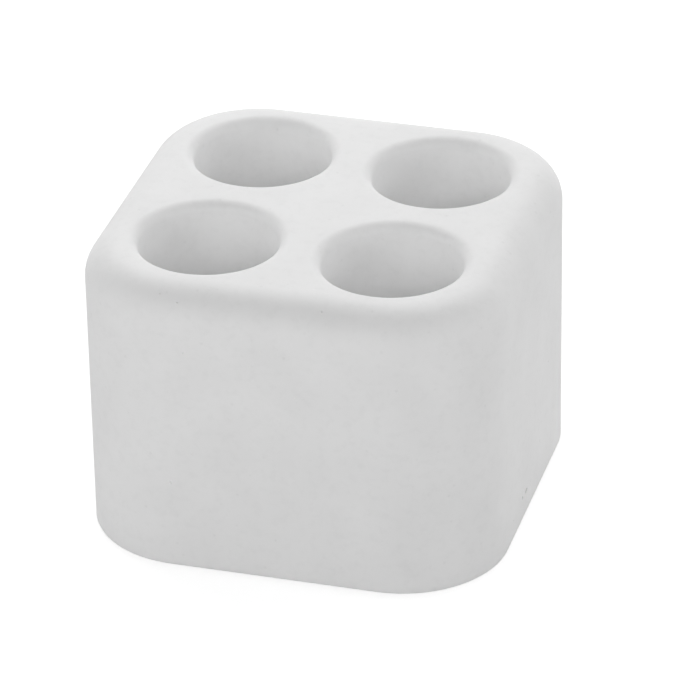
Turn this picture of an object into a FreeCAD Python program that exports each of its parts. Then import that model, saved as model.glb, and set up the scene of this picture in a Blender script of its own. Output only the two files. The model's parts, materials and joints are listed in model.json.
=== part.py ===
"""Toothbrush holder: a pressed mineral block, bored with four round wells, on four silicone feet.

Millimetres, +Z up. The origin is on the surface that the holder stands on, under the block's middle.
"""

import FreeCAD
import Part
import Sketcher
import math
import os

SIZES = {
    "block_side": 70.0,  # width and depth of the block
    "block_height": 50.8,  # the block alone, without its feet
    "corner_radius": 17.7,  # upright corners, seen from above
    "top_edge_radius": 5.7,  # roll from the top face into the sides
    "base_arris": 0.4,  # the ground base's edge, broken all round
    "well_margin": 6.3,  # flat and roll between the block's sides and a well's lip
    "well_web": 4.0,  # flat between the lips of two wells
    "well_depth": 40.0,  # from the top face to a well's floor
    "lip_radius": 1.9,  # sanded lip from the top face into a well
    "floor_radius": 3.0,  # corner that the cutter leaves round a well's floor
    "foot_inset": 12.0,  # from the block's sides to a foot's axis
    "foot_radius": 5.0,  # a foot at its glued face
    "foot_tip_radius": 4.6,  # a foot at the face that it stands on, before its edge is rounded
    "foot_edge_radius": 0.5,  # that edge
    "foot_height": 2.0,  # silicone alone
    "adhesive_thickness": 0.3,  # double-sided disc between a foot and the block
    "adhesive_margin": 0.4,  # how far the disc stays inside the foot
    "recess_depth": 1.8,  # counterbore that takes a foot
    "recess_clearance": 0.3,  # gap round a foot in its counterbore
    "cut_overrun": 1.0,  # how far a cutter runs past the face that it enters
}

# Quarters of the plan that hold a foot each, with the signs of X and Y there.
QUARTERS = {
    "front_left": (-1, -1),
    "front_right": (1, -1),
    "back_left": (-1, 1),
    "back_right": (1, 1),
}

# Sizes that follow from those above, as formulas in the same sheet.
DERIVED = {
    "lip_reach": "(block_side / 2 - well_margin - well_web / 2) / 2",  # a lip's outer radius
    "well_radius": "lip_reach - lip_radius",  # bored wall of a well
    "well_place": "well_web / 2 + lip_reach",  # from the middle to a well's axis, along X and Y
    "foot_place": "block_side / 2 - foot_inset",  # from the middle to a foot's axis
    "recess_radius": "foot_radius + recess_clearance",
    "disc_radius": "foot_radius - adhesive_margin",
    "stand_height": "foot_height + adhesive_thickness - recess_depth",  # gap under the block
}

FULL_TURN, HALF_TURN, QUARTER_TURN = 360, 180, 90
VOLUME_TOLERANCE = 1e-3  # share of a cut's volume

START, END, CENTRE = 1, 2, 3  # points of a sketched line or arc
ORIGIN_POINT, X_LINE, Y_LINE = -1, -1, -2  # a sketch's own origin and axes

doc = FreeCAD.newDocument("toothbrush_holder")


def make_sheet():
    """Fills the sheet and returns the value of each size, driving and derived."""
    sheet = doc.addObject("Spreadsheet::Sheet", "sizes")
    cells = {alias: str(value) for alias, value in SIZES.items()}
    cells.update({alias: f"={formula}" for alias, formula in DERIVED.items()})
    for row, (alias, content) in enumerate(cells.items(), start=1):
        sheet.set(f"A{row}", alias)
        sheet.set(f"B{row}", content)
        sheet.setAlias(f"B{row}", alias)
    doc.recompute()
    return {alias: float(sheet.get(alias)) for alias in cells}


def new_body(name):
    body = doc.addObject("PartDesign::Body", name)
    body.Label = name
    return body


def origin_feature(body, role):
    return next(f for f in body.Origin.OriginFeatures if f.Role == role)


def new_sketch(body, name, plane):
    sketch = body.newObject("Sketcher::SketchObject", name)
    sketch.AttachmentSupport = [(origin_feature(body, plane), "")]
    sketch.MapMode = "FlatFace"
    return sketch


def new_feature(body, kind, name):
    return body.newObject(f"PartDesign::{kind}", name)


def place(thing, **formulas):
    for axis, formula in formulas.items():
        thing.setExpression(f"Placement.Base.{axis}", formula)


def line(sketch, start, end):
    segment = Part.LineSegment(FreeCAD.Vector(*start), FreeCAD.Vector(*end))
    return sketch.addGeometry(segment, False)


def arc(sketch, centre, radius, start_degrees, end_degrees):
    circle = Part.Circle(FreeCAD.Vector(*centre), FreeCAD.Vector(0, 0, 1), radius)
    curve = Part.ArcOfCircle(circle, math.radians(start_degrees), math.radians(end_degrees))
    return sketch.addGeometry(curve, False)


def constrain(sketch, *rules):
    for rule in rules:
        sketch.addConstraint(Sketcher.Constraint(*rule))


def dimension(sketch, name, formula, *rule):
    """Adds a dimension with a name and ties it to the sheet."""
    index = sketch.addConstraint(Sketcher.Constraint(*rule))
    sketch.renameConstraint(index, name)
    sketch.setExpression(f"Constraints.{name}", formula)


def edges_at_height(feature, height):
    """Names of the edges that lie flat at this height."""
    found = []
    for number, edge in enumerate(feature.Shape.Edges, start=1):
        box = edge.BoundBox
        if abs(box.ZMin - height) + abs(box.ZMax - height) < Part.Precision.confusion():
            found.append(f"Edge{number}")
    return found


def quarter_pattern(body, name, cut, before):
    """Repeats a cut in all four quarters and compares what is gone with one quarter's share."""
    doc.recompute()
    pattern = new_feature(body, "PolarPattern", name)
    pattern.Originals = [cut]
    pattern.Axis = (origin_feature(body, "Z_Axis"), [""])
    pattern.Angle = FULL_TURN
    pattern.Occurrences = len(QUARTERS)
    body.Tip = pattern
    doc.recompute()
    once = before.Shape.Volume - cut.Shape.Volume
    together = before.Shape.Volume - pattern.Shape.Volume
    expected = len(QUARTERS) * once
    if once <= 0 or abs(together - expected) > VOLUME_TOLERANCE * expected:
        raise RuntimeError(f"{name} took {together} mm3 in all, and {once} mm3 the first time")
    return pattern


def sketch_outline(body):
    """Plan of the block: a square with rounded corners, centred on the origin."""
    half = values["block_side"] / 2
    radius = values["corner_radius"]
    flat = half - radius
    sketch = new_sketch(body, "outline", "XY_Plane")
    front = line(sketch, (-flat, -half), (flat, -half))
    front_right = arc(sketch, (flat, -flat), radius, -QUARTER_TURN, 0)
    right = line(sketch, (half, -flat), (half, flat))
    back_right = arc(sketch, (flat, flat), radius, 0, QUARTER_TURN)
    back = line(sketch, (flat, half), (-flat, half))
    back_left = arc(sketch, (-flat, flat), radius, QUARTER_TURN, HALF_TURN)
    left = line(sketch, (-half, flat), (-half, -flat))
    front_left = arc(sketch, (-flat, -flat), radius, -HALF_TURN, -QUARTER_TURN)
    ring = [front, front_right, right, back_right, back, back_left, left, front_left]
    for one, following in zip(ring, ring[1:] + ring[:1]):
        constrain(sketch, ("Tangent", one, END, following, START))
    for corner in (back_right, back_left, front_left):
        constrain(sketch, ("Equal", front_right, corner))
    constrain(
        sketch,
        ("Symmetric", front, START, front, END, Y_LINE),
        ("Symmetric", right, START, right, END, X_LINE),
        ("Horizontal", back),
        ("Vertical", left),
    )
    dimension(sketch, "corner", "sizes.corner_radius", "Radius", front_right, radius)
    dimension(
        sketch, "width", "sizes.block_side", "DistanceX", left, START, right, START, 2 * half
    )
    dimension(
        sketch, "depth", "sizes.block_side", "DistanceY", front, START, back, START, 2 * half
    )
    return sketch


def sketch_well(body):
    """Half section of one well, from its axis outwards, in the first quarter."""
    top = values["block_height"]
    floor = top - values["well_depth"]
    wall = values["well_radius"]
    lip = values["lip_radius"]
    toe = values["floor_radius"]
    mouth = top + values["cut_overrun"]
    sketch = new_sketch(body, "well_section", "XZ_Plane")
    sketch.setExpression("AttachmentOffset.Base.x", "sizes.well_place")
    sketch.setExpression("AttachmentOffset.Base.z", "-sizes.well_place")
    axis = line(sketch, (0, floor), (0, mouth))
    entry = line(sketch, (0, mouth), (wall + lip, mouth))
    sleeve = line(sketch, (wall + lip, mouth), (wall + lip, top))
    rim = arc(sketch, (wall + lip, top - lip), lip, QUARTER_TURN, HALF_TURN)
    bore = line(sketch, (wall, top - lip), (wall, floor + toe))
    corner = arc(sketch, (wall - toe, floor + toe), toe, -QUARTER_TURN, 0)
    bottom = line(sketch, (wall - toe, floor), (0, floor))
    constrain(
        sketch,
        ("Coincident", axis, END, entry, START),
        ("Coincident", entry, END, sleeve, START),
        ("Coincident", sleeve, END, rim, START),
        ("Tangent", rim, END, bore, START),
        ("Tangent", bore, END, corner, END),
        ("Tangent", corner, START, bottom, START),
        ("Coincident", bottom, END, axis, START),
        ("PointOnObject", axis, START, Y_LINE),
        ("PointOnObject", axis, END, Y_LINE),
        ("Horizontal", entry),
        ("Vertical", sleeve),
        ("Vertical", rim, CENTRE, rim, START),
        ("Vertical", bore),
        ("Horizontal", bottom),
    )
    dimension(sketch, "lip", "sizes.lip_radius", "Radius", rim, lip)
    dimension(sketch, "toe", "sizes.floor_radius", "Radius", corner, toe)
    dimension(
        sketch, "wall", "sizes.well_radius", "DistanceX", ORIGIN_POINT, START, bore, START, wall
    )
    dimension(
        sketch, "top", "sizes.block_height", "DistanceY", ORIGIN_POINT, START, rim, START, top
    )
    dimension(
        sketch, "depth", "sizes.well_depth", "DistanceY", bottom, END, rim, START, top - floor
    )
    dimension(
        sketch, "overrun", "sizes.cut_overrun", "DistanceY", rim, START, entry, END, mouth - top
    )
    return sketch


def sketch_recess(body):
    """Circle of the counterbore that takes a foot, in the first quarter."""
    radius = values["recess_radius"]
    reach = values["foot_place"]
    sketch = new_sketch(body, "recess_circle", "XY_Plane")
    centre = FreeCAD.Vector(reach, reach)
    circle = sketch.addGeometry(Part.Circle(centre, FreeCAD.Vector(0, 0, 1), radius), False)
    dimension(sketch, "radius", "sizes.recess_radius", "Radius", circle, radius)
    for name, kind in (("right", "DistanceX"), ("back", "DistanceY")):
        dimension(
            sketch, name, "sizes.foot_place", kind, ORIGIN_POINT, START, circle, CENTRE, reach
        )
    return sketch


def make_block():
    body = new_body("block")
    place(body, z="sizes.stand_height")

    pressed = new_feature(body, "Pad", "pressed_blank")
    pressed.Profile = sketch_outline(body)
    pressed.setExpression("Length", "sizes.block_height")
    doc.recompute()

    rolled = new_feature(body, "Fillet", "top_roll")
    rolled.Base = (pressed, edges_at_height(pressed, values["block_height"]))
    rolled.setExpression("Radius", "sizes.top_edge_radius")
    doc.recompute()

    ground = new_feature(body, "Chamfer", "ground_arris")
    ground.Base = (rolled, edges_at_height(rolled, 0))
    ground.setExpression("Size", "sizes.base_arris")
    doc.recompute()

    section = sketch_well(body)
    well = new_feature(body, "Groove", "well")
    well.Profile = section
    well.ReferenceAxis = (section, ["V_Axis"])
    well.Angle = FULL_TURN
    wells = quarter_pattern(body, "wells", well, ground)

    recess = new_feature(body, "Pocket", "foot_recess")
    recess.Profile = sketch_recess(body)
    recess.setExpression("Length", "sizes.recess_depth")
    recess.Reversed = True
    quarter_pattern(body, "foot_recesses", recess, wells)
    return body


def make_foot(name, side, depth):
    """A turned silicone foot, narrower where it stands, with its edge rounded there."""
    tip = values["foot_tip_radius"]
    glued = values["foot_radius"]
    height = values["foot_height"]
    body = new_body(name)
    place(body, x=f"{side} * sizes.foot_place", y=f"{depth} * sizes.foot_place")

    sketch = new_sketch(body, f"{name}_section", "XZ_Plane")
    base = line(sketch, (0, 0), (tip, 0))
    flank = line(sketch, (tip, 0), (glued, height))
    top = line(sketch, (glued, height), (0, height))
    axis = line(sketch, (0, height), (0, 0))
    constrain(
        sketch,
        ("Coincident", base, END, flank, START),
        ("Coincident", flank, END, top, START),
        ("Coincident", top, END, axis, START),
        ("Coincident", axis, END, base, START),
        ("Coincident", base, START, ORIGIN_POINT, START),
        ("Horizontal", base),
        ("Horizontal", top),
        ("Vertical", axis),
    )
    dimension(sketch, "tip", "sizes.foot_tip_radius", "DistanceX", base, START, base, END, tip)
    dimension(sketch, "glued", "sizes.foot_radius", "DistanceX", top, END, top, START, glued)
    dimension(sketch, "height", "sizes.foot_height", "DistanceY", axis, END, axis, START, height)

    turned = new_feature(body, "Revolution", f"{name}_turned")
    turned.Profile = sketch
    turned.ReferenceAxis = (sketch, ["V_Axis"])
    turned.Angle = FULL_TURN
    doc.recompute()

    rounded = new_feature(body, "Fillet", f"{name}_edge")
    rounded.Base = (turned, edges_at_height(turned, 0))
    rounded.setExpression("Radius", "sizes.foot_edge_radius")
    return body


def make_adhesive(name, side, depth):
    """Disc between a foot's top and the roof of its counterbore."""
    disc = doc.addObject("Part::Cylinder", name)
    disc.Label = name
    disc.setExpression("Radius", "sizes.disc_radius")
    disc.setExpression("Height", "sizes.adhesive_thickness")
    place(
        disc,
        x=f"{side} * sizes.foot_place",
        y=f"{depth} * sizes.foot_place",
        z="sizes.foot_height",
    )
    return disc


def check(pieces):
    for thing in doc.Objects:
        if "Invalid" in thing.State or "Error" in thing.State:
            raise RuntimeError(f"{thing.Name} is {thing.State}")
    for piece in pieces:
        if piece.Shape.isNull() or not piece.Shape.isValid() or len(piece.Shape.Solids) != 1:
            raise RuntimeError(f"{piece.Label} is not one valid solid")


def export(pieces):
    os.makedirs("parts", exist_ok=True)
    for piece in pieces:
        piece.Shape.exportStep(f"parts/{piece.Label}.step")
        print(f"{piece.Label}: {piece.Shape.Volume:.1f} mm3")


values = make_sheet()
pieces = [make_block()]
for quarter, signs in QUARTERS.items():
    pieces.append(make_foot(f"foot_{quarter}", *signs))
    pieces.append(make_adhesive(f"adhesive_{quarter}", *signs))
doc.recompute()
check(pieces)
export(pieces)
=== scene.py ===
import json
import math
import random

import bmesh
import bpy
from mathutils import Matrix, Vector


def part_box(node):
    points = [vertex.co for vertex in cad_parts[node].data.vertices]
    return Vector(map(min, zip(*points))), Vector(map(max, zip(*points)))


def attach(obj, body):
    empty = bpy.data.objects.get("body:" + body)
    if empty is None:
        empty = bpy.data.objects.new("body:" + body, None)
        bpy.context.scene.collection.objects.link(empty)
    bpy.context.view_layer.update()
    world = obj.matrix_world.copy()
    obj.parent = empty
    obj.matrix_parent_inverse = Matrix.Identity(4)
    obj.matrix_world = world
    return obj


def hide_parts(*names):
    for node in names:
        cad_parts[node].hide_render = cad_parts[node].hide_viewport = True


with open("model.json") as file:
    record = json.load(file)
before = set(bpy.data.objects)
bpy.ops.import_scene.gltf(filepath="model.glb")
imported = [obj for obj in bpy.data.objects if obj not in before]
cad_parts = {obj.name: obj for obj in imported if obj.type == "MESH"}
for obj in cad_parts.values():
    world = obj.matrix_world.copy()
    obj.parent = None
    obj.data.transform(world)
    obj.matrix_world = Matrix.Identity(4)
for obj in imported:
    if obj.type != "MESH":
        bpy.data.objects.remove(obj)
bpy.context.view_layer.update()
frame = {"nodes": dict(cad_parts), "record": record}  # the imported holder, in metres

mm = 0.001  # one millimetre
tiny = 0.001 * mm  # two places nearer than this are the same
quarterTurn = math.pi / 2
mounts = {mount["name"]: mount for mount in frame["record"]["mounts"]}


# Small helpers for modelling by hand

def deselectAll():
    bpy.ops.object.select_all(action="DESELECT")


def choose(*pieces):
    deselectAll()
    for piece in pieces:
        piece.select_set(True)
    bpy.context.view_layer.objects.active = pieces[0]


def addPrimitive(kind, name, **options):
    deselectAll()
    getattr(bpy.ops.mesh, f"primitive_{kind}_add")(**options)
    piece = bpy.context.object
    piece.name = name
    bpy.ops.object.transform_apply(location=True, rotation=True, scale=True)
    return piece


def startEdit(piece, kind):
    choose(piece)
    bpy.ops.object.mode_set(mode="EDIT")
    bpy.ops.mesh.select_mode(type=kind)
    bpy.ops.mesh.select_all(action="DESELECT")


def endEdit():
    bpy.ops.object.mode_set(mode="OBJECT")


def pick(piece, kind, wanted):  # selects the vertices, edges or faces that pass a test
    bpy.ops.mesh.select_all(action="DESELECT")
    mesh = bmesh.from_edit_mesh(piece.data)
    for item in filter(wanted, getattr(mesh, kind)):
        item.select_set(True)
    mesh.select_flush_mode()
    bmesh.update_edit_mesh(piece.data)


def near(a, b):
    return abs(a - b) < tiny


def along(edge, axis):  # a straight edge that runs along one axis
    a, b = (vertex.co for vertex in edge.verts)
    return all(near(a[i], b[i]) for i in range(3) if i != axis)


def level(item, height):  # every corner at this height
    return all(near(vertex.co.z, height) for vertex in item.verts)


def onPlane(item, axis):  # every corner on one of the two planes that halve the block
    return all(near(vertex.co[axis], 0) for vertex in item.verts)


def onRim(edge, height):  # an outer edge of the block's top or base
    return level(edge, height) and not onPlane(edge, 0) and not onPlane(edge, 1)


def openEdge(edge, height):  # an edge round a hole that is still to be closed
    return level(edge, height) and len(edge.link_faces) < 2


def applyModifier(piece, kind, name, **settings):
    choose(piece)
    modifier = piece.modifiers.new(name, kind)
    for setting, value in settings.items():
        setattr(modifier, setting, value)
    bpy.ops.object.modifier_apply(modifier=name)


def smooth(piece, degrees):  # edges that turn by more than this stay crisp
    choose(piece)
    bpy.ops.object.shade_smooth_by_angle(angle=math.radians(degrees))


# Small helpers for materials

def toLinear(code):  # an sRGB hex colour as the four numbers that a socket takes
    parts = [int(code[i:i + 2], 16) / 255 for i in (1, 3, 5)]
    return [c / 12.92 if c <= 0.04045 else ((c + 0.055) / 1.055) ** 2.4 for c in parts] + [1]


def newMaterial(name):
    material = bpy.data.materials.new(name)
    material.use_nodes = True
    material.node_tree.nodes.clear()
    return material


def addNode(owner, kind, values=None, links=None, **settings):  # to a material or to the world
    node = owner.node_tree.nodes.new(f"ShaderNode{kind}")
    for name, value in settings.items():
        setattr(node, name, value)
    for socket, value in (values or {}).items():
        node.inputs[socket].default_value = value
    for socket, source in (links or {}).items():
        owner.node_tree.links.new(source, node.inputs[socket])
    return node


def setStops(ramp, *stops):  # colours of a ramp, each with its place from 0 to 1
    elements = ramp.color_ramp.elements
    while len(elements) < len(stops):
        elements.new(1)
    for element, (place, colour) in zip(elements, stops):
        element.position = place
        element.color = toLinear(colour) if isinstance(colour, str) else [colour] * 3 + [1]
    return ramp.outputs["Color"]


def perMetre(size):  # scale of a pattern whose marks are this many metres apart
    return 1 / size


def lookedAt(owner):  # 1 where it is seen, also in a reflection or through glass, and 0 for its light
    path = addNode(owner, "LightPath")
    looked = path.outputs["Is Camera Ray"]
    for kind in ("Is Glossy Ray", "Is Transmission Ray"):
        looked = addNode(
            owner, "Math", links={0: looked, 1: path.outputs[kind]}, operation="MAXIMUM"
        ).outputs["Value"]
    return looked


# The block: one quarter is modelled, with its well and its counterbore, and mirrored twice

blockLow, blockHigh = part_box("block")
footLow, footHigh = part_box("foot_back_right")
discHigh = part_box("adhesive_back_right")[1]
footPlace = (footLow + footHigh) / 2
well = mounts["well_back_right"]
block = {
    "half": blockHigh.x,
    "base": blockLow.z,
    "top": blockHigh.z,
    "cornerRadius": 17.7 * mm,
    "topRoll": 5.7 * mm,
    "baseArris": 0.4 * mm,
    "wellPlace": Vector(well["pos_m"][:2]),
    "wellRadius": well["dims"]["r_mm"] * mm,
    "wellDepth": 40.0 * mm,
    "lipRadius": 1.9 * mm,
    "floorRadius": 3.0 * mm,
    "counterbore": 5.3 * mm,
    "counterboreDepth": discHigh.z - blockLow.z,
    "facet": 0.75 * mm,  # about the side of one face of the finished mesh
    "cornerSteps": 30,
    "sideSteps": 16,
    "halvingSteps": 33,  # on the top's and the base's edges where the quarters meet
    "rollSteps": 12,
    "arrisSteps": 2,
    "lipSteps": 10,
    "floorSteps": 5,
    "mouthRings": 3,  # from the roll to a well's lip
    "counterboreSides": 64,
    "crispAngle": 30,
}


def startQuarter():
    half, base, top = block["half"], block["base"], block["top"]
    quarter = addPrimitive(
        "cube", "block", size=1, location=(half / 2, half / 2, (base + top) / 2),
        scale=(half, half, top - base),
    )
    startEdit(quarter, "EDGE")
    pick(quarter, "edges", lambda e: all(near(v.co.x, half) and near(v.co.y, half) for v in e.verts))
    bpy.ops.mesh.bevel(offset=block["cornerRadius"], segments=block["cornerSteps"], affect="EDGES")
    for height, offset, steps in (
        (top, block["topRoll"], block["rollSteps"]),
        (base, block["baseArris"], block["arrisSteps"]),
    ):
        pick(quarter, "edges", lambda e: onRim(e, height))
        bpy.ops.mesh.bevel(offset=offset, segments=steps, affect="EDGES", clamp_overlap=False)

    # The faces inside the block go, with the line where they meet, and so do the top and the base
    bpy.ops.mesh.select_mode(type="FACE")
    pick(quarter, "faces", lambda f: onPlane(f, 0) or onPlane(f, 1) or level(f, top) or level(f, base))
    bpy.ops.mesh.delete(type="ONLY_FACE")
    bpy.ops.mesh.select_mode(type="EDGE")
    pick(quarter, "edges", lambda e: onPlane(e, 0) and onPlane(e, 1))
    bpy.ops.mesh.delete(type="EDGE")

    # Even strips along the straight sides and up the walls
    for axis, other in ((0, 1), (1, 0)):
        pick(quarter, "edges", lambda e: along(e, axis) and not onPlane(e, other))
        bpy.ops.mesh.subdivide(number_cuts=block["sideSteps"] - 1)
        for height in (top, base):
            pick(quarter, "edges", lambda e: along(e, axis) and onPlane(e, other) and level(e, height))
            bpy.ops.mesh.subdivide(number_cuts=block["halvingSteps"] - 1)
    wall = top - base - block["topRoll"] - block["baseArris"]
    pick(quarter, "edges", lambda e: along(e, 2) and near(e.calc_length(), wall))
    bpy.ops.mesh.subdivide(number_cuts=round(wall / block["facet"]) - 1)
    endEdit()
    return quarter


def lower(ring, radius, height):  # extrudes the selected ring to this radius and height
    bpy.ops.mesh.extrude_edges_move(TRANSFORM_OT_translate={"value": (0, 0, height - ring["height"])})
    share = radius / ring["radius"]
    bpy.ops.transform.resize(value=(share, share, 1), center_override=(*ring["place"], height))
    ring.update(radius=radius, height=height)


def turnWell():  # from the lip down the wall, round the corner and in over the floor
    radius, lip, toe = block["wellRadius"], block["lipRadius"], block["floorRadius"]
    top, place = block["top"], block["wellPlace"]
    bottom = top - block["wellDepth"]
    ringSteps = block["cornerSteps"] + 2 * block["sideSteps"] + 2 * block["halvingSteps"]
    bore = addPrimitive(
        "circle", "well", vertices=ringSteps, radius=radius + lip, location=(*place, top),
        fill_type="NOTHING",
    )
    ring = {"place": place, "radius": radius + lip, "height": top}
    startEdit(bore, "EDGE")
    bpy.ops.mesh.select_all(action="SELECT")
    for step in range(1, block["lipSteps"] + 1):
        turn = quarterTurn * step / block["lipSteps"]
        lower(ring, radius + lip * (1 - math.sin(turn)), top - lip * (1 - math.cos(turn)))
    wall = top - lip - bottom - toe
    wallSteps = round(wall / block["facet"])
    for step in range(1, wallSteps + 1):
        lower(ring, radius, top - lip - wall * step / wallSteps)
    for step in range(1, block["floorSteps"] + 1):
        turn = quarterTurn * step / block["floorSteps"]
        lower(ring, radius - toe * (1 - math.cos(turn)), bottom + toe * (1 - math.sin(turn)))
    discSteps = round((radius - toe) / block["facet"])
    for step in range(1, discSteps):
        lower(ring, (radius - toe) * (1 - step / discSteps), bottom)
    bpy.ops.mesh.merge(type="COLLAPSE")
    endEdit()
    return bore


def sinkCounterbore():
    radius, base = block["counterbore"], block["base"]
    place = (footPlace.x, footPlace.y)
    roof = base + block["counterboreDepth"]
    recess = addPrimitive(
        "circle", "counterbore", vertices=block["counterboreSides"], radius=radius,
        location=(*place, base), fill_type="NOTHING",
    )
    ring = {"place": place, "radius": radius, "height": base}
    startEdit(recess, "EDGE")
    bpy.ops.mesh.select_all(action="SELECT")
    lower(ring, radius, roof)
    ringSteps = round(radius / block["facet"])
    for step in range(1, ringSteps):
        lower(ring, radius * (1 - step / ringSteps), roof)
    bpy.ops.mesh.merge(type="COLLAPSE")
    endEdit()
    return recess


def makeBlock():
    quarter, bore, recess = startQuarter(), turnWell(), sinkCounterbore()
    choose(quarter, bore, recess)
    bpy.ops.object.join()
    startEdit(quarter, "EDGE")
    pick(quarter, "edges", lambda e: openEdge(e, block["top"]))
    bpy.ops.mesh.bridge_edge_loops(number_cuts=block["mouthRings"] - 1, interpolation="LINEAR")
    pick(quarter, "edges", lambda e: openEdge(e, block["base"]))
    bpy.ops.mesh.fill(use_beauty=True)
    endEdit()
    applyModifier(quarter, "MIRROR", "quarters", use_axis=(True, True, False), merge_threshold=tiny)
    startEdit(quarter, "VERT")
    bpy.ops.mesh.select_all(action="SELECT")
    bpy.ops.mesh.remove_doubles(threshold=tiny)
    bpy.ops.mesh.normals_make_consistent(inside=False)
    endEdit()
    print("block modelled:", len(quarter.data.polygons), "faces")
    return quarter


# Pits that the press leaves in the skin: a few chosen, the rest scattered over the walls

pits = {
    "chosen": [  # side, place along it, height above the base, half width, half height and depth in mm
        ("right", -5.2, 4.3, 0.72, 0.42, 1.10),
        ("right", -7.8, 4.5, 0.46, 0.27, 0.36),
        ("front", -18.0, 49.4, 0.20, 0.11, 0.45),
        ("front", -14.9, 48.6, 0.22, 0.11, 0.45),
        ("front", 8.6, 49.6, 0.21, 0.11, 0.45),
        ("front", -13.9, 40.2, 0.22, 0.20, 0.20),
        ("front", -16.7, 15.8, 0.20, 0.24, 0.20),
        ("left", 12.2, 9.3, 0.42, 0.33, 0.80),
        ("back", -11.4, 36.7, 0.36, 0.40, 0.70),
        ("back", 9.6, 14.2, 0.30, 0.26, 0.60),
    ],
    "scattered": 28,
    "margin": 2.0,  # mm from a scattered pit to the base and to the roll
    "halfWidth": (0.10, 0.22),
    "tallness": (0.8, 1.3),  # half height as a share of half width
    "depth": (0.04, 0.10),
    "roundness": 3,  # subdivisions of the pebble that leaves a pit
    "seed": 11,
}
outwards = {"front": (0, -1), "right": (1, 0), "back": (0, 1), "left": (-1, 0)}


def scatterPits(draw):
    reach = (block["half"] - block["cornerRadius"]) / mm
    low = pits["margin"]
    high = (block["top"] - block["base"] - block["topRoll"]) / mm - pits["margin"]
    scattered = []
    for _ in range(pits["scattered"]):
        side = draw.choice(sorted(outwards))
        width = draw.uniform(*pits["halfWidth"])
        tall = width * draw.uniform(*pits["tallness"])
        place, height = draw.uniform(-reach, reach), draw.uniform(low, high)
        scattered.append((side, place, height, width, tall, draw.uniform(*pits["depth"])))
    return scattered


def reachAt(height):  # from the block's middle to its wall, or to its roll above that
    roll = block["topRoll"]
    rise = max(0, height - (block["top"] - roll))
    return block["half"] - roll + math.sqrt(roll ** 2 - rise ** 2)


def carvePits(piece):
    pebbles = []
    draw = random.Random(pits["seed"])
    for side, place, height, width, tall, depth in pits["chosen"] + scatterPits(draw):
        x, y = outwards[side]
        middle = block["base"] + height * mm
        reach = reachAt(middle)
        pebbles.append(addPrimitive(
            "ico_sphere", "pebble", subdivisions=pits["roundness"], radius=mm,
            location=(x * reach - y * place * mm, y * reach + x * place * mm, middle),
            scale=(abs(x) * depth + abs(y) * width, abs(y) * depth + abs(x) * width, tall),
        ))
    choose(*pebbles)
    bpy.ops.object.join()
    applyModifier(piece, "BOOLEAN", "pits", object=pebbles[0], operation="DIFFERENCE", solver="EXACT")
    bpy.data.objects.remove(pebbles[0])
    print("pits carved:", len(piece.data.polygons), "faces")


# Diatomaceous earth, pressed and sanded: a dry chalky white that takes no shine, all but even

diatomite = {
    "skin": ("#EDEDED", "#EFEFEF", "#F1F1F1"),  # from shade to light
    "cut": ("#EEEEEE", "#F0F0F0", "#F2F2F2"),  # a step whiter than the skin, painted light that lifts the shade inside the wells; the ground base takes the same tones
    "cloud": {"Scale": perMetre(9.0 * mm), "Detail": 3},  # uneven drying
    "cloudStops": (0.25, 0.5, 0.75),
    "mottle": {"Scale": perMetre(1.6 * mm), "Detail": 4, "Roughness": 0.6},
    "mottleStops": ((0.32, 0.977), (0.5, 1.0)),  # places on the pattern, each with its shade
    "speck": {"Scale": perMetre(3.2 * mm)},  # from one darker speck of the earth to the next
    "speckStops": ((0.03, 0.95), (0.11, 1.0)),
    "grain": {"Scale": perMetre(0.5 * mm), "Detail": 2},  # coarser than the real one, under 0.1 mm
    "grainDepth": 0.005 * mm,
    "pore": {"Scale": perMetre(1.3 * mm)},
    "poreStops": ((0.05, 0.0), (0.22, 1.0)),
    "poreDepth": 0.012 * mm,
    "scratch": {"Scale": perMetre(0.5 * mm), "Detail": 3},  # drawn as coarse as the grain, to show
    "rings": ((1, 1, 6), 0.006 * mm),  # the cutter's marks: stretch and depth of the scratches
    "belt": ((0.1, 2, 1), 0.02 * mm),  # and the same for the belt's
    "roughness": {"To Min": 0.86, "To Max": 0.96},
    "shader": {"IOR": 1.45},
}


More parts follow.
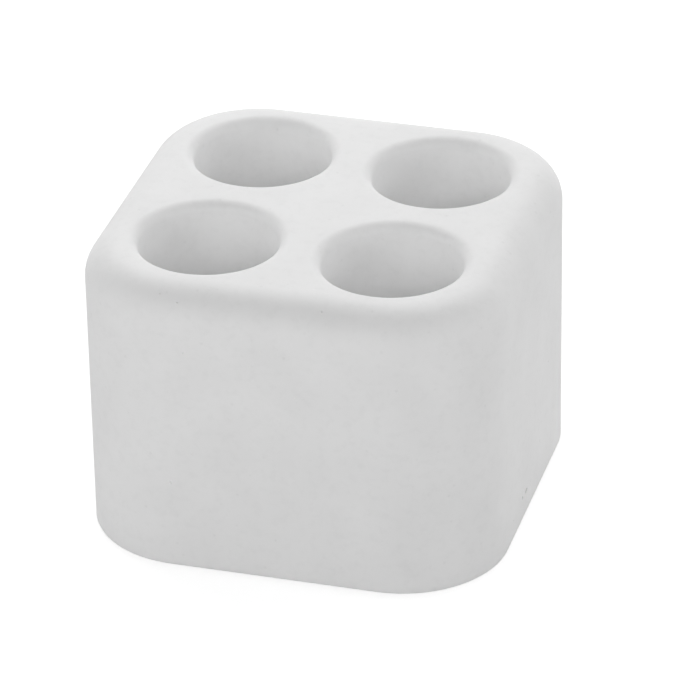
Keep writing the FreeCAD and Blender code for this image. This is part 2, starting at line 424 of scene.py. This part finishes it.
def makeDiatomite(name, tones, marks=None):
    material = newMaterial(name)
    place = addNode(material, "TexCoord").outputs["Object"]

    # Colour: clouds, a finer mottle and a few specks, each only just seen
    cloud = addNode(material, "TexNoise", diatomite["cloud"], {"Vector": place})
    tone = addNode(material, "ValToRGB", links={"Fac": cloud.outputs["Fac"]})
    colour = setStops(tone, *zip(diatomite["cloudStops"], tones))
    mottle = addNode(material, "TexNoise", diatomite["mottle"], {"Vector": place})
    speck = addNode(material, "TexVoronoi", diatomite["speck"], {"Vector": place})
    for pattern, stops in (
        (mottle.outputs["Fac"], diatomite["mottleStops"]),
        (speck.outputs["Distance"], diatomite["speckStops"]),
    ):
        shade = addNode(material, "ValToRGB", links={"Fac": pattern})
        colour = addNode(  # 0 is the factor, 6 and 7 are the colours, and output 2 is the result
            material, "Mix", {0: 1.0}, {6: colour, 7: setStops(shade, *stops)},
            data_type="RGBA", blend_type="MULTIPLY",
        ).outputs[2]

    # Bump: the grain, open pores and, where a tool has cut, its marks
    grain = addNode(material, "TexNoise", diatomite["grain"], {"Vector": place})
    pore = addNode(material, "TexVoronoi", diatomite["pore"], {"Vector": place})
    dip = addNode(material, "ValToRGB", links={"Fac": pore.outputs["Distance"]})
    layers = [
        (diatomite["grainDepth"], grain.outputs["Fac"]),
        (diatomite["poreDepth"], setStops(dip, *diatomite["poreStops"])),
    ]
    if marks:
        stretch, markDepth = marks
        stretched = addNode(material, "Mapping", {"Scale": stretch}, {"Vector": place})
        scratch = addNode(
            material, "TexNoise", diatomite["scratch"], {"Vector": stretched.outputs["Vector"]}
        )
        layers.append((markDepth, scratch.outputs["Fac"]))
    links = {}
    for depth, height in layers:
        bump = addNode(
            material, "Bump", {"Strength": 1.0, "Distance": depth}, {"Height": height, **links}
        )
        links = {"Normal": bump.outputs["Normal"]}

    rough = addNode(material, "MapRange", diatomite["roughness"], {"Value": mottle.outputs["Fac"]})
    shader = addNode(
        material, "BsdfPrincipled", diatomite["shader"],
        {"Base Color": colour, "Roughness": rough.outputs["Result"], **links},
    )
    addNode(material, "OutputMaterial", links={"Surface": shader.outputs["BSDF"]})
    return material


def finishBlock(piece):
    skin, cut = diatomite["skin"], diatomite["cut"]
    sanded = makeDiatomite("diatomiteSanded", skin)  # the skin: dry and even
    bored = makeDiatomite("diatomiteBored", cut, diatomite["rings"])  # the wells: faint rings, and painted a step lighter against their shade
    ground = makeDiatomite("diatomiteGround", cut, diatomite["belt"])  # the base: straight fine marks
    for material in (sanded, bored, ground):
        piece.data.materials.append(material)
    reach = block["wellRadius"] + tiny
    clear = block["base"] + block["counterboreDepth"] + mm  # above the counterbore under the well

    def inWell(face):
        middle = face.calc_center_median()
        aside = Vector((abs(middle.x), abs(middle.y))) - block["wellPlace"]
        return aside.length < reach and middle.z > clear

    startEdit(piece, "FACE")
    for index, wanted in ((1, inWell), (2, lambda f: level(f, block["base"]))):
        pick(piece, "faces", wanted)
        piece.active_material_index = index
        bpy.ops.object.material_slot_assign()
    endEdit()
    smooth(piece, block["crispAngle"])
    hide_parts("block")
    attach(piece, "root")


shownBlock = makeBlock()
carvePits(shownBlock)
finishBlock(shownBlock)
shownBlock.name = "pressedBlock"
print("block finished")


# Silicone feet: a pale translucent moulding, soft and slightly dusty

foot = {
    "radius": (footHigh.x - footLow.x) / 2,
    "tipRadius": 4.6 * mm,
    "edge": 0.5 * mm,
    "sides": 72,
    "edgeSteps": 6,
    "faceRings": 4,
    "ringWidth": 0.8 * mm,
    "crispAngle": 40,
    "tones": ((0.4, "#D3D5D4"), (0.7, "#E0E0DE")),  # clean, then dusty
    "dust": {"Scale": perMetre(1.2 * mm), "Detail": 5},
    "grainDepth": 0.006 * mm,
    "roughness": {"To Min": 0.42, "To Max": 0.62},
    "shader": {"IOR": 1.41, "Subsurface Weight": 0.25, "Subsurface Scale": 1.0 * mm},
}


def makeSilicone():
    material = newMaterial("siliconeMoulded")
    place = addNode(material, "TexCoord").outputs["Object"]
    dust = addNode(material, "TexNoise", foot["dust"], {"Vector": place}).outputs["Fac"]
    tone = addNode(material, "ValToRGB", links={"Fac": dust})
    rough = addNode(material, "MapRange", foot["roughness"], {"Value": dust})
    bump = addNode(
        material, "Bump", {"Strength": 1.0, "Distance": foot["grainDepth"]}, {"Height": dust}
    )
    shader = addNode(
        material, "BsdfPrincipled", foot["shader"],
        {
            "Base Color": setStops(tone, *foot["tones"]),
            "Roughness": rough.outputs["Result"],
            "Normal": bump.outputs["Normal"],
        },
    )
    addNode(material, "OutputMaterial", links={"Surface": shader.outputs["BSDF"]})
    return material


def makeFoot():
    piece = addPrimitive(
        "cylinder", "foot", vertices=foot["sides"], radius=foot["radius"],
        depth=footHigh.z - footLow.z, location=footPlace,
    )
    startEdit(piece, "VERT")
    pick(piece, "verts", lambda v: near(v.co.z, footLow.z))
    share = foot["tipRadius"] / foot["radius"]
    tip = (footPlace.x, footPlace.y, footLow.z)
    bpy.ops.transform.resize(value=(share, share, 1), center_override=tip)
    bpy.ops.mesh.select_mode(type="EDGE")
    pick(piece, "edges", lambda e: level(e, footLow.z))
    bpy.ops.mesh.bevel(offset=foot["edge"], segments=foot["edgeSteps"], affect="EDGES")

    # The two round ends get rings of faces and a middle point
    bpy.ops.mesh.select_mode(type="FACE")
    pick(piece, "faces", lambda f: len(f.verts) > 4)
    for _ in range(foot["faceRings"]):
        bpy.ops.mesh.inset(thickness=foot["ringWidth"])
    bpy.ops.mesh.poke()
    endEdit()
    smooth(piece, foot["crispAngle"])
    return piece


def setFeet():
    silicone = makeSilicone()
    first = makeFoot()
    for quarterName in ("back_right", "back_left", "front_left", "front_right"):
        choose(first)
        bpy.ops.object.duplicate(linked=False)
        piece = bpy.context.object
        low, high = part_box(f"foot_{quarterName}")
        middle = (low + high) / 2
        bpy.ops.transform.translate(value=(middle.x - footPlace.x, middle.y - footPlace.y, 0))
        bpy.ops.object.transform_apply(location=True, rotation=True, scale=True)
        piece.name = f"siliconeFoot_{quarterName}"
        piece.data.materials.append(silicone)
        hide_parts(f"foot_{quarterName}")
        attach(piece, "root")
    bpy.data.objects.remove(first)


setFeet()
print("feet set")


# Adhesive discs: white foam tape, matt and finely celled

tape = {
    "tones": ((0.0, "#D9D7D0"), (0.5, "#E6E4DE")),  # from a cell's hollow to its wall, the hollows darker: painted shade
    "cell": {"Scale": perMetre(0.35 * mm)},
    "cellDepth": 0.02 * mm,
    "shader": {"Roughness": 0.8},
}


def makeFoamTape():
    material = newMaterial("acrylicFoamTape")
    place = addNode(material, "TexCoord").outputs["Object"]
    cell = addNode(material, "TexVoronoi", tape["cell"], {"Vector": place}).outputs["Distance"]
    tone = addNode(material, "ValToRGB", links={"Fac": cell})
    bump = addNode(
        material, "Bump", {"Strength": 1.0, "Distance": tape["cellDepth"]}, {"Height": cell}
    )
    shader = addNode(
        material, "BsdfPrincipled", tape["shader"],
        {"Base Color": setStops(tone, *tape["tones"]), "Normal": bump.outputs["Normal"]},
    )
    addNode(material, "OutputMaterial", links={"Surface": shader.outputs["BSDF"]})
    return material


foamTape = makeFoamTape()
for nodeName, node in frame["nodes"].items():
    if nodeName.startswith("adhesive"):
        node.data.materials.clear()
        node.data.materials.append(foamTape)
print("tape finished")


# Floor: pale, lit like the object, and white to the camera away from the object's soft shadow

floor = {
    "size": 6.0,
    "colour": "#EDEDED",  # for the light that it sends up to the object
    "shown": 0.4,  # share of the light on it that is seen, so that the shadow shows in the glow
    "glow": {"From Max": 0.30, "To Min": 0.72, "To Max": 1.0},  # from the middle out to 0.3 m
}


def makeFloor():
    piece = addPrimitive("plane", "floor", size=floor["size"], location=(0, 0, 0))
    material = newMaterial("studioFloor")
    place = addNode(material, "TexCoord").outputs["Object"]
    away = addNode(material, "VectorMath", links={0: place}, operation="LENGTH")
    glow = addNode(material, "MapRange", floor["glow"], {"Value": away.outputs["Value"]})
    lit = addNode(material, "BsdfDiffuse", {"Color": toLinear(floor["colour"])})
    dim = addNode(material, "BsdfDiffuse", {"Color": [floor["shown"]] * 3 + [1]})
    shine = addNode(material, "Emission", links={"Strength": glow.outputs["Result"]})
    white = addNode(material, "AddShader", links={0: dim.outputs["BSDF"], 1: shine.outputs["Emission"]})
    mixed = addNode(
        material, "MixShader",
        links={"Fac": lookedAt(material), 1: lit.outputs["BSDF"], 2: white.outputs["Shader"]},
    )
    addNode(material, "OutputMaterial", links={"Surface": mixed.outputs["Shader"]})
    piece.data.materials.append(material)


makeFloor()
print("floor laid")


# Light: eight soft panels in a ring, strongest behind the object, in a white room

panels = {
    "spread": 0.42,  # side of a panel, as a share of its distance
    "aim": Vector((0, 0, 0.03)),
    "ring": {  # azimuth from the front: elevation in degrees, distance, watts
        16: (36, 1.2, 4.2),
        61: (36, 1.2, 0.88),
        106: (22, 1.2, 3.25),
        151: (36, 1.2, 3.05),
        196: (36, 1.2, 6.8),
        241: (36, 0.5, 0.53),
        286: (22, 1.2, 1.2),
        331: (22, 1.0, 2.05),
    },
    "room": "#FFFFFF",  # seen and reflected, but no light on the object
}


def direction(azimuth, elevation):  # from the object, 0 degrees towards the front
    turn, rise = math.radians(azimuth), math.radians(elevation)
    return Vector((math.sin(turn) * math.cos(rise), -math.cos(turn) * math.cos(rise), math.sin(rise)))


def hangPanels():
    for azimuth, (elevation, distance, watts) in panels["ring"].items():
        towards = direction(azimuth, elevation)
        light = bpy.data.lights.new(f"panel{azimuth}", "AREA")
        light.shape = "SQUARE"
        light.size = panels["spread"] * distance
        light.energy = watts
        lamp = bpy.data.objects.new(light.name, light)
        lamp.location = panels["aim"] + towards * distance
        lamp.rotation_mode = "QUATERNION"
        lamp.rotation_quaternion = towards.to_track_quat("Z", "Y")
        lamp.visible_camera = False
        bpy.context.scene.collection.objects.link(lamp)


def makeRoom():
    world = bpy.data.worlds.new("whiteRoom")
    bpy.context.scene.world = world
    world.use_nodes = True
    background = world.node_tree.nodes["Background"]
    background.inputs["Color"].default_value = toLinear(panels["room"])
    world.node_tree.links.new(lookedAt(world), background.inputs["Strength"])


hangPanels()
makeRoom()
print("lights hung")


# Camera: from the front and a little to the right, looking down into the wells

view = {
    "azimuth": 16.16,
    "elevation": 29.77,
    "roll": -1.01,
    "distance": 802.6 * mm,
    "lens": 248.8,  # for the usual 36 mm sensor
    "right": 3.46 * mm,  # the aim, to the right of the block's middle
    "height": 23.26 * mm,  # the aim, above the block's base
    "clip": 10 * mm,
}


def placeCamera():
    back = direction(view["azimuth"], view["elevation"])
    right = Vector((-back.y, back.x, 0)).normalized()
    up = back.cross(right)
    tilt = math.radians(view["roll"])
    sideways = right * math.cos(tilt) + up * math.sin(tilt)
    upwards = up * math.cos(tilt) - right * math.sin(tilt)
    aim = right * view["right"] + Vector((0, 0, block["base"] + view["height"]))
    camera = bpy.data.objects.new("camera", bpy.data.cameras.new("camera"))
    camera.data.lens = view["lens"]
    camera.data.clip_start = view["clip"]
    camera.matrix_world = Matrix.Translation(aim + back * view["distance"]) @ (
        Matrix((sideways, upwards, back)).transposed().to_4x4()
    )
    bpy.context.scene.collection.objects.link(camera)
    bpy.context.scene.camera = camera


placeCamera()
bpy.context.scene.view_settings.view_transform = "Standard"
print("camera placed")

print("scene ready")
